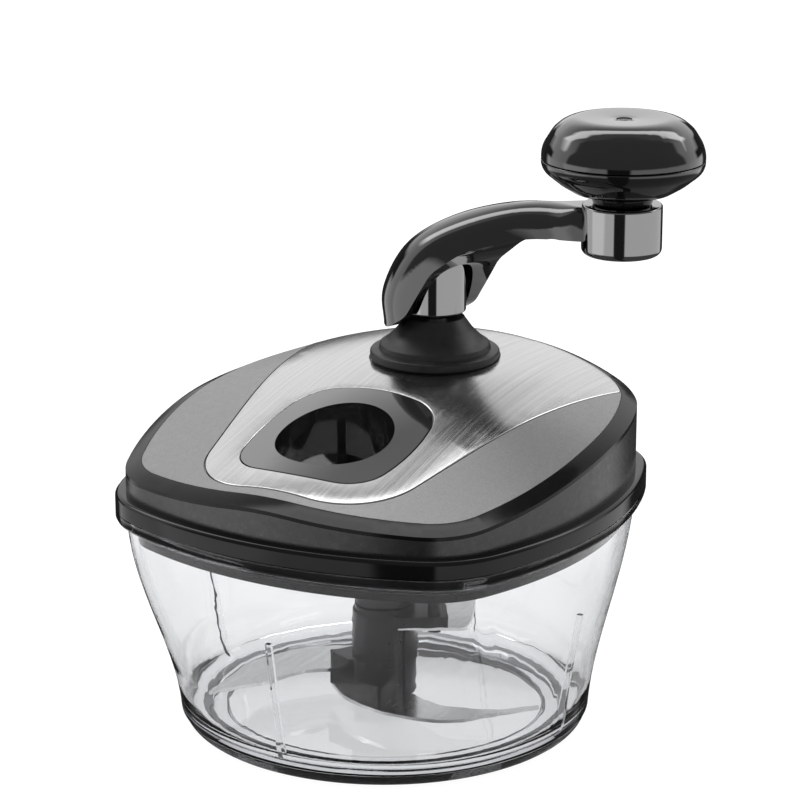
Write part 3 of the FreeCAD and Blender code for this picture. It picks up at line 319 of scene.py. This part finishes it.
def smoothed(node_name, angle=32, ease=None, rolled=0.0):
    """A copy of a solid, joined and smooth below that angle, eased in size or with rolled edges."""
    piece = bpy.data.objects.new(node_name + "_skin", frame["nodes"][node_name].data.copy())
    bpy.context.scene.collection.objects.link(piece)
    activate(piece)
    bpy.ops.object.mode_set(mode="EDIT")
    bpy.ops.mesh.select_all(action="SELECT")
    bpy.ops.mesh.remove_doubles(threshold=0.000002)
    if ease:
        bpy.ops.transform.resize(value=ease, center_override=(0.0, 0.0, 0.0))
    bpy.ops.object.mode_set(mode="OBJECT")
    if piece.data.has_custom_normals:
        bpy.ops.mesh.customdata_custom_splitnormals_clear()
    if rolled:
        bpy.ops.object.modifier_add(type="BEVEL")
        edge = piece.modifiers[-1]
        edge.width = rolled
        edge.segments = 3
        edge.limit_method = "ANGLE"
        edge.angle_limit = math.radians(55)
        bpy.ops.object.modifier_apply(modifier=edge.name)
    bpy.ops.object.shade_smooth_by_angle(angle=math.radians(angle))
    dress(piece, node_name)
    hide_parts(node_name)
    return piece


SMOOTH_NODES = ("bowl_shell", "crank_arm", "lid_flange", "edge_band", "lid_wall", "feed_insert",
                "feed_tube", "shaft_boot", "lid_top", "shaft_sleeve", "collar_cap",
                "knob_neck", "knob_collar", "drive_sleeve", "blade_hub")
for node_name in SMOOTH_NODES:
    skin = smoothed(node_name)
    print(skin.name, "faces", len(skin.data.polygons))
ROLLED_EDGE = 0.0003
RING_EASE = (1.0008, 1.0008, 0.985)
cover_skin = smoothed("steel_cover", rolled=ROLLED_EDGE)
print(cover_skin.name, "has its edges rolled, faces", len(cover_skin.data.polygons))
foot_skin = smoothed("foot_ring", ease=RING_EASE)
print(foot_skin.name, "leaves a film of air under the bowl")


# %% [markdown]
# ## The knob
# The knob is two glossy shells that meet in a fine groove. It is a body of rotation, so a ring of
# points is extruded along the profile, as clay on a wheel. The profile is given by its corners,
# and each corner by the radius that rounds it. The small lips at the groove catch the thin bright
# lines that make the joint readable.

# %% A profile with rounded corners
def rounded(corners, steps=7):
    """Turns (radius, height[, rounding]) corners in millimetres into points on runs and arcs."""
    points = []
    for index, corner in enumerate(corners):
        here = Vector(corner[:2])
        if len(corner) < 3:
            points.append(here)
            continue
        back = (Vector(corners[index - 1][:2]) - here).normalized()
        ahead = (Vector(corners[index + 1][:2]) - here).normalized()
        half = back.angle(ahead) / 2
        reach = corner[2] / math.tan(half)
        centre = here + (back + ahead).normalized() * corner[2] / math.sin(half)
        start = here + back * reach - centre
        end = here + ahead * reach - centre
        for step in range(steps + 1):
            spoke = start.lerp(end, step / steps)
            points.append(centre + spoke.normalized() * corner[2])
    return points


# %% A wheel for round pieces
def thrown(name, corners, centre, segments=96):
    """A closed body of rotation about a vertical axis, extruded ring by ring."""
    points = rounded(corners)
    middle_x, middle_y = centre
    bpy.ops.object.select_all(action="DESELECT")
    first = points[0]
    bpy.ops.mesh.primitive_circle_add(vertices=segments, radius=max(first.x, 0.001) / 1000,
                                      location=(middle_x, middle_y, first.y / 1000))
    piece = bpy.context.object
    piece.name = name
    bpy.ops.object.transform_apply(location=True, rotation=True, scale=True)
    bpy.ops.object.mode_set(mode="EDIT")
    bpy.ops.mesh.select_all(action="SELECT")
    for before, after in zip(points, points[1:]):
        bpy.ops.mesh.extrude_region_move(
            TRANSFORM_OT_translate={"value": (0, 0, (after.y - before.y) / 1000)})
        factor = max(after.x, 0.001) / max(before.x, 0.001)
        bpy.ops.transform.resize(value=(factor, factor, 1.0),
                                 center_override=(middle_x, middle_y, after.y / 1000))
    bpy.ops.mesh.select_all(action="SELECT")
    bpy.ops.mesh.remove_doubles(threshold=0.000004)
    bpy.ops.mesh.normals_make_consistent(inside=False)
    bpy.ops.object.mode_set(mode="OBJECT")
    bpy.ops.object.shade_smooth_by_angle(angle=math.radians(35))
    return piece


KNOB_AXIS = (0.0704, 0.0345)
TOP_SHELL_PROFILE = [
    (0, 208.5), (2.6, 208.5), (2.6, 209.7, 0.12), (5, 209.9, 3), (18.4, 210.45, 10),
    (23.2, 206.3, 8), (27, 200.2, 10), (27, 196.65, 0.3), (24.8, 196.65), (24.8, 199.4),
    (20.6, 204.2), (14.5, 207.3), (0, 207.1)]
BOTTOM_SHELL_PROFILE = [
    (10.8, 185.4), (15.8, 185.4, 3), (20.8, 188.4, 14), (27, 193.4, 5.5), (27, 196.35, 0.3),
    (24.8, 196.35), (24.8, 194.8), (19.8, 190.6), (14.8, 187), (10.8, 187), (10.8, 185.4)]
knob_top_shell = thrown("knob_top_shell", TOP_SHELL_PROFILE, KNOB_AXIS)
dress(knob_top_shell, "knob_upper")
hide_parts("knob_upper")
knob_bottom_shell = thrown("knob_bottom_shell", BOTTOM_SHELL_PROFILE, KNOB_AXIS)
dress(knob_bottom_shell, "knob_lower")
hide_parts("knob_lower")
print("knob shells:", len(knob_top_shell.data.polygons), len(knob_bottom_shell.data.polygons))


# %% [markdown]
# ## The studio
# A pale floor that reads as white, a large soft lamp above and behind the tool, a weaker one at
# the left and a fill at the right. The floor shines a little by itself for rays that come from the
# camera or through clear plastic, so that it stays white without more light on the tool. Its glow
# is a little dimmer near the tool, which paints a faint shade round the tool's foot.

# %% Floor
FLOOR_SIZE, FLOOR_DROP = 12.0, 0.0002
# The floor's glow by the tool is set a little lower than far off, as a faint painted shade round
# its foot.
FLOOR_SHADE, GLOW_NEAR_SHADED, GLOW_FAR = 0.16, 0.95, 1.0
TOOL_CENTRE = Vector((0.0, 0.0, 0.09))
TOWARDS_CAMERA = Vector((0.5, -0.866, 0.0))
SCREEN_RIGHT = Vector((0.866, 0.5, 0.0))


def ray_kinds(finish):
    """Four signals: camera, mirrored or refracted ray, and 1 while no matt surface was met."""
    path = finish.tree.nodes.new("ShaderNodeLightPath")
    camera, glossy, through, matt_count = [Signal(finish, path.outputs[name]) for name in (
        "Is Camera Ray", "Is Glossy Ray", "Is Transmission Ray", "Diffuse Depth")]
    return camera, glossy, through, matt_count.math("LESS_THAN", 0.5)


def floor_finish():
    floor = Finish("floor_white")
    distance = floor.node("VectorMath", {"operation": "LENGTH"}, {0: floor.place}, out="Value")
    # The glow grows from near the tool to far off; the dimmer glow by the tool is painted shade,
    # also seen through the bowl.
    tone = floor.blend(floor.band(distance, 0.12, 0.6), colour(GLOW_NEAR_SHADED),
                       colour(GLOW_FAR))
    matt = floor.node("BsdfDiffuse", {}, {"Color": colour(FLOOR_SHADE)})
    glow = floor.node("Emission", {}, {"Color": tone, "Strength": 1.0})
    nothing = floor.node("Emission", {}, {"Color": colour(0.0), "Strength": 0.0})
    camera, glossy, through, clean = ray_kinds(floor)
    seen = camera.math("MAXIMUM", glossy).math("MAXIMUM", through) * clean
    shown = floor.node("MixShader", {}, {0: seen, 1: nothing, 2: glow})
    both = floor.node("AddShader", {}, {0: matt, 1: shown})
    floor.tree.links.new(both.socket, floor.output.inputs["Surface"])
    return floor.material


bpy.ops.object.select_all(action="DESELECT")
bpy.ops.mesh.primitive_plane_add(size=FLOOR_SIZE, location=(0.0, 0.0, -FLOOR_DROP))
floor_sheet = bpy.context.object
floor_sheet.name = "floor_sheet"
bpy.ops.object.transform_apply(location=True, rotation=True, scale=True)
floor_sheet.data.materials.append(floor_finish())
floor_sheet.visible_glossy = False
print("floor at z", floor_sheet.data.vertices[0].co.z)


# %% [markdown]
# ## What the gloss mirrors
# Gloss black, steel and dark chrome have almost no colour of their own, and are drawn by what they
# mirror. So the world is plain white for the eye, a mild even grey for soft light, and a small
# studio for mirrors: a sheet of light behind the tool, an arch of light over it, a pale table
# below with a dark wedge where the camera stands, and a dimmer room in front. The side is told by
# the dot product of a direction with three axes, and each piece of the studio is a mask on them.

# %% The world's own helper
world = bpy.data.worlds.new("studio_world")
bpy.context.scene.world = world
world.use_nodes = True


class WorldLight(Finish):
    """The world's nodes, written in the same way as a material's."""

    def __init__(self, holder):
        self.tree = holder.node_tree
        self.tree.nodes.clear()
        self.output = self.tree.nodes.new("ShaderNodeOutputWorld")
        self.place = self.node("TexCoord", {}, {}, out="Generated")

    def along(self, direction):
        """How far a direction points along another: 1 is the same way and -1 the opposite."""
        return self.node("VectorMath", {"operation": "DOT_PRODUCT"},
                         {0: self.place, 1: tuple(direction)}, out="Value")

    def step(self, value, edge, soft=0.04):
        """0 below the edge and 1 above it, over a short soft ramp."""
        return self.band(value, edge - soft, edge + soft)


# %% Where a direction points
sky = WorldLight(world)
front = sky.along(TOWARDS_CAMERA)
side = sky.along(SCREEN_RIGHT)
height = sky.along((0.0, 0.0, 1.0))
behind = 1 - sky.step(front, 0.0)
above = sky.step(height, -0.02)
below = (1 - above) * sky.band(height, -0.44, -0.34, 0.1, 1.0)

# %% How bright each piece of the mirrored studio is
SHEET_LOW, SHEET_HIGH = 0.96, 0.3
TABLE_LEVEL = 1.05
ROOM_LEVEL = 0.18
ARCH_LEVEL = 3.6
LEFT_EXTRA = 0.5
DARKEST = 0.03
SOFT_LIGHT = 0.42

# %% The pieces of the mirrored studio
wedge = sky.step(front, 0.1) * sky.step(side + front * 0.5, 0.0, 0.03) * (
    1 - sky.step(side - front * 0.08, 0.0, 0.03))
path = sky.tree.nodes.new("ShaderNodeLightPath")
first_mirror = Signal(sky, path.outputs["Glossy Depth"]).math("LESS_THAN", 1.5)
arch = sky.step(front * -1.0, 0.24) * (1 - sky.step(front * -1.0, 0.5)) * sky.step(
    height, 0.46, 0.06) * first_mirror
left_table = (1 - sky.step(side, -0.8)) * sky.step(front, -0.1) * below
low_back = sky.step(front * -1.0, 0.72) * (1 - sky.step(height, 0.06))
low_sides = sky.step(front * -1.0, 0.5) * (1 - sky.step(height, 0.22)) * sky.step(
    side * side, 0.06, 0.02) * above
room = above * (1 - behind) * ROOM_LEVEL
sheet = above * behind * sky.band(height, 0.5, 0.82, SHEET_LOW, SHEET_HIGH) * (1 - low_sides)
table = below * (1 - wedge) * TABLE_LEVEL
mirror_level = ((sheet + table) * (1 - low_back) + room + arch * ARCH_LEVEL
                + left_table * LEFT_EXTRA + DARKEST)

# %% Which ray sees which world
is_camera, is_glossy, is_through, clean = ray_kinds(sky)
mirrors_met = Signal(sky, path.outputs["Glossy Depth"]).math("GREATER_THAN", 0.5)
shown = is_camera.math("MAXIMUM", is_through * clean * (1 - mirrors_met))
mirrored = is_glossy.math("MAXIMUM", is_through * mirrors_met) * clean
strength = shown + mirrored * mirror_level + (1 - shown - mirrored) * SOFT_LIGHT
background = sky.node("Background", {}, {"Color": colour(1.0), "Strength": strength})
sky.tree.links.new(background.socket, sky.output.inputs["Surface"])
print("world nodes:", len(sky.tree.nodes))


# %% [markdown]
# ## Three soft boxes
# Large square lamps give soft edges to the shadow. They are hidden from mirrors, because the world
# already holds what gloss shows, and they stay weak enough for a pale surface to keep its colour.

# %% Lamps
def soft_lamp(name, place, size, power):
    """A square soft box that points at the tool."""
    bpy.ops.object.light_add(type="AREA", location=place)
    lamp = bpy.context.object
    lamp.name = name
    lamp.data.shape = "SQUARE"
    lamp.data.size = size
    lamp.data.energy = power
    aim = TOOL_CENTRE - Vector(place)
    lamp.rotation_euler = aim.to_track_quat("-Z", "Y").to_euler()
    lamp.visible_glossy = False
    return lamp


soft_lamp("lamp_top", (-0.25, 0.35, 1.15), 0.9, 13.0)
soft_lamp("lamp_left", (-0.95, -0.75, 0.65), 0.7, 5.0)
soft_lamp("lamp_right", (1.15, -0.1, 0.55), 0.7, 4.0)


# %% [markdown]
# ## The camera
# It stands to the right of the front, looks down by about 17 degrees, and uses a long lens, so that
# the lid's sides stay nearly parallel. Its turn is built from three axes at right angles. Plain
# colours need the Standard view.

# %% Camera
CAMERA_PLACE = Vector((0.4805, -0.8218, 0.396))
LOOK_DOWN = math.radians(16.58)
LENS_MM, FILM_MM = 132.75, 36.0
ahead = Vector((-0.5 * math.cos(LOOK_DOWN), 0.866 * math.cos(LOOK_DOWN), -math.sin(LOOK_DOWN)))
right = SCREEN_RIGHT
upward = right.cross(ahead)
turn = Matrix((right, upward, -ahead)).transposed()
bpy.ops.object.camera_add(location=CAMERA_PLACE)
camera = bpy.context.object
camera.name = "studio_camera"
camera.rotation_euler = turn.to_euler()
camera.data.lens = LENS_MM
camera.data.sensor_width = FILM_MM
bpy.context.scene.camera = camera
bpy.context.scene.view_settings.view_transform = "Standard"
